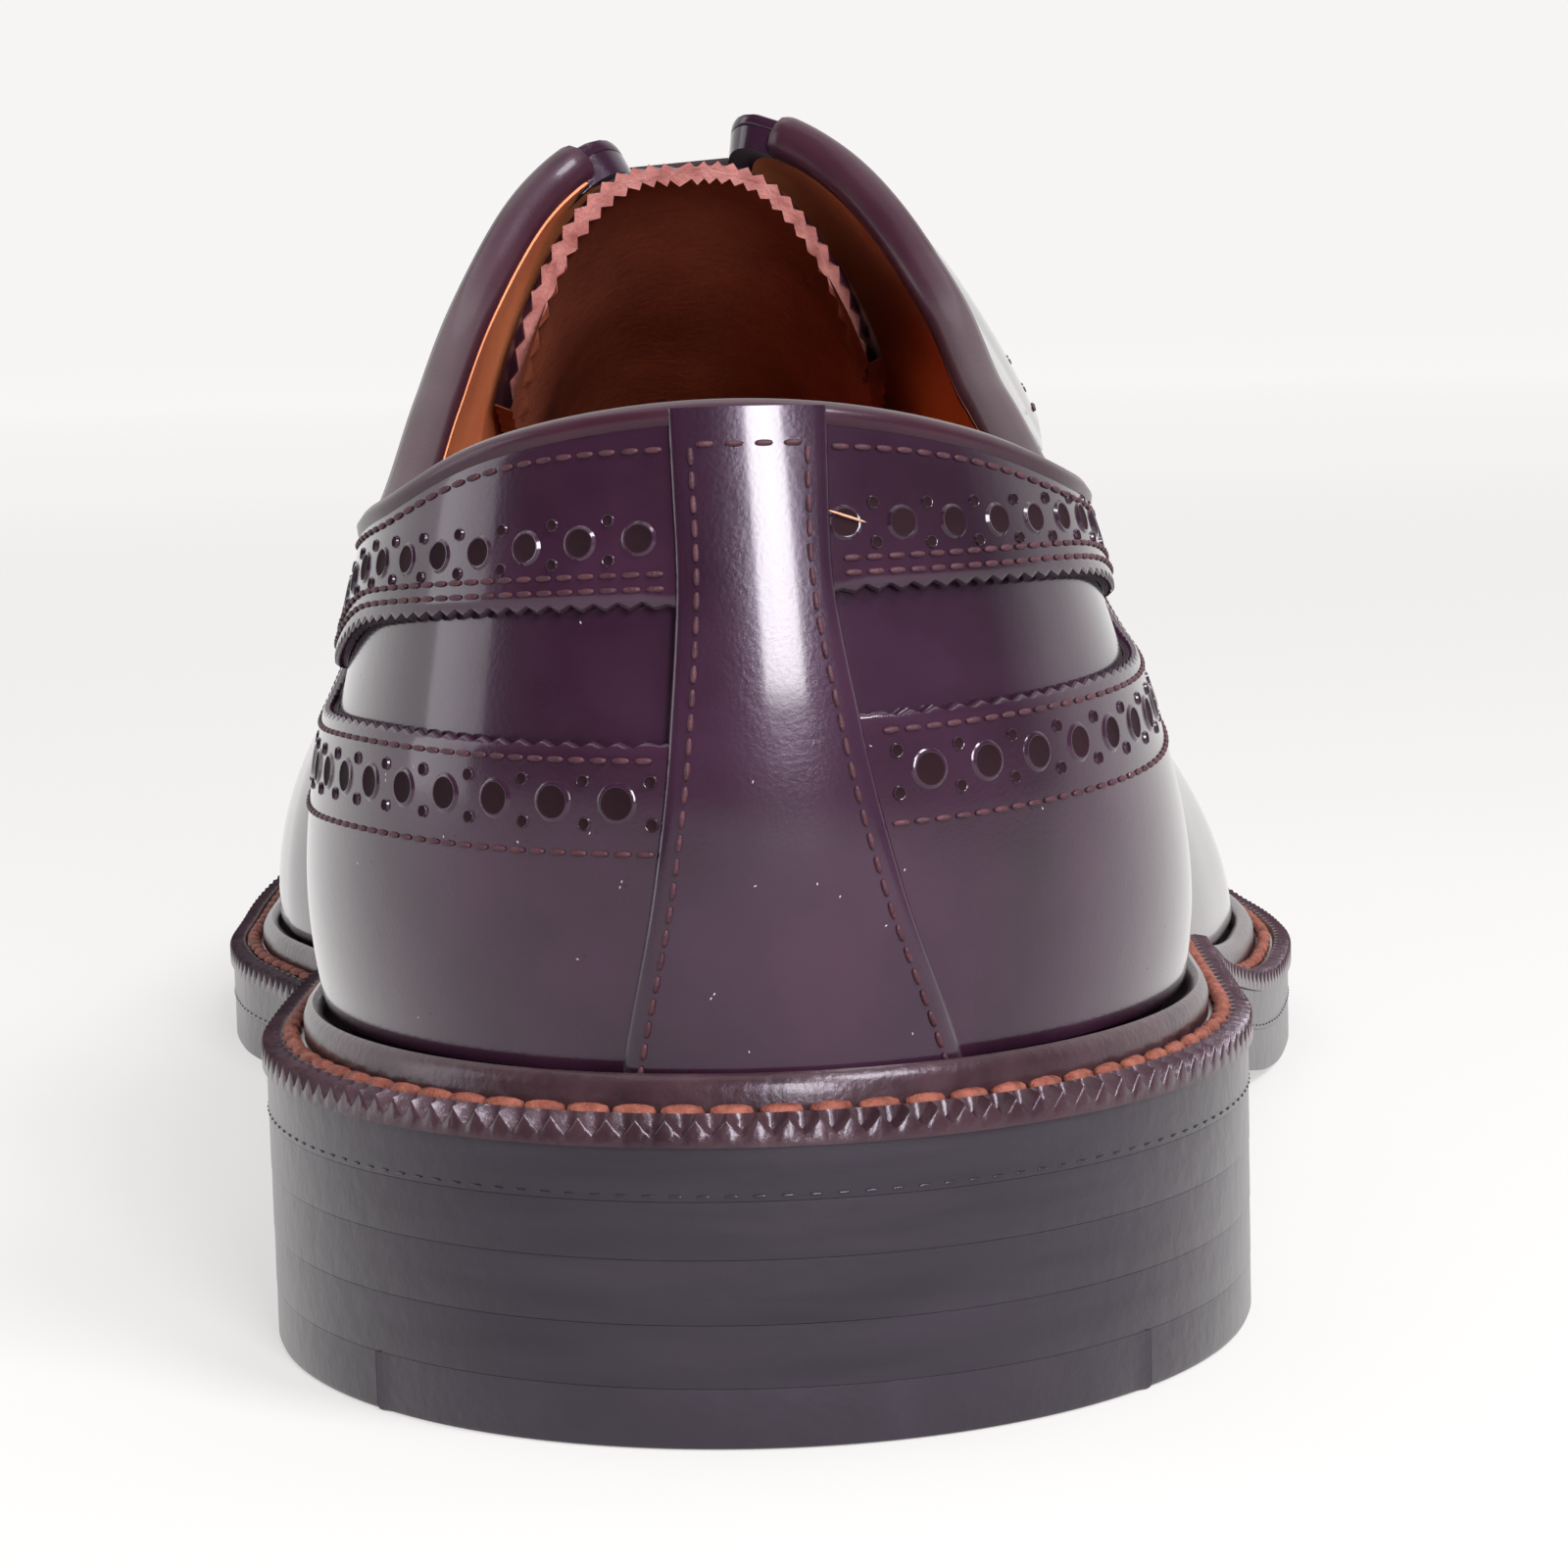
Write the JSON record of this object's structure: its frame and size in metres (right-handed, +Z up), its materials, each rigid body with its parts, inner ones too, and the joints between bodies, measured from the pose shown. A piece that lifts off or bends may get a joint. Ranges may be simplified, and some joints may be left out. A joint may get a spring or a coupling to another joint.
{
  "type": "longwing brogue",
  "caption": "Low laced leather dress shoe with a long perforated wing, storm welt, double sole and stacked heel, standing empty on its sole.",
  "frame": {"origin": "on the floor, under the middle of the shoe's box in plan", "axes": "+Y towards the toe, +X towards the outer side of the foot, +Z up"},
  "size_m": [0.1228, 0.318, 0.102],
  "materials": {
    "upper_leather": "high gloss",
    "sole_leather": "waxed edge",
    "top_piece_rubber": "matt",
    "welt_leather": "satin",
    "insole_leather": "natural",
    "tongue_leather": "satin",
    "lace_cotton": "waxed"
  },
  "bodies": {
    "root": {"upper": "upper_leather", "wing_cap": "upper_leather", "collar_panel_outer": "upper_leather", "collar_panel_inner": "upper_leather", "facing_outer": "upper_leather", "facing_inner": "upper_leather", "back_strip": "upper_leather", "outsole": "sole_leather", "midsole": "sole_leather", "heel_lift_1": "sole_leather", "heel_lift_2": "sole_leather", "heel_top_leather": "sole_leather", "heel_top_rubber": "top_piece_rubber", "welt": "welt_leather", "insole": "insole_leather", "tongue": "tongue_leather", "lace_bar_1": "lace_cotton", "lace_bar_2": "lace_cotton", "lace_bar_3": "lace_cotton", "lace_bar_4": "lace_cotton", "lace_bar_5": "lace_cotton"}
  },
  "joints": []
}
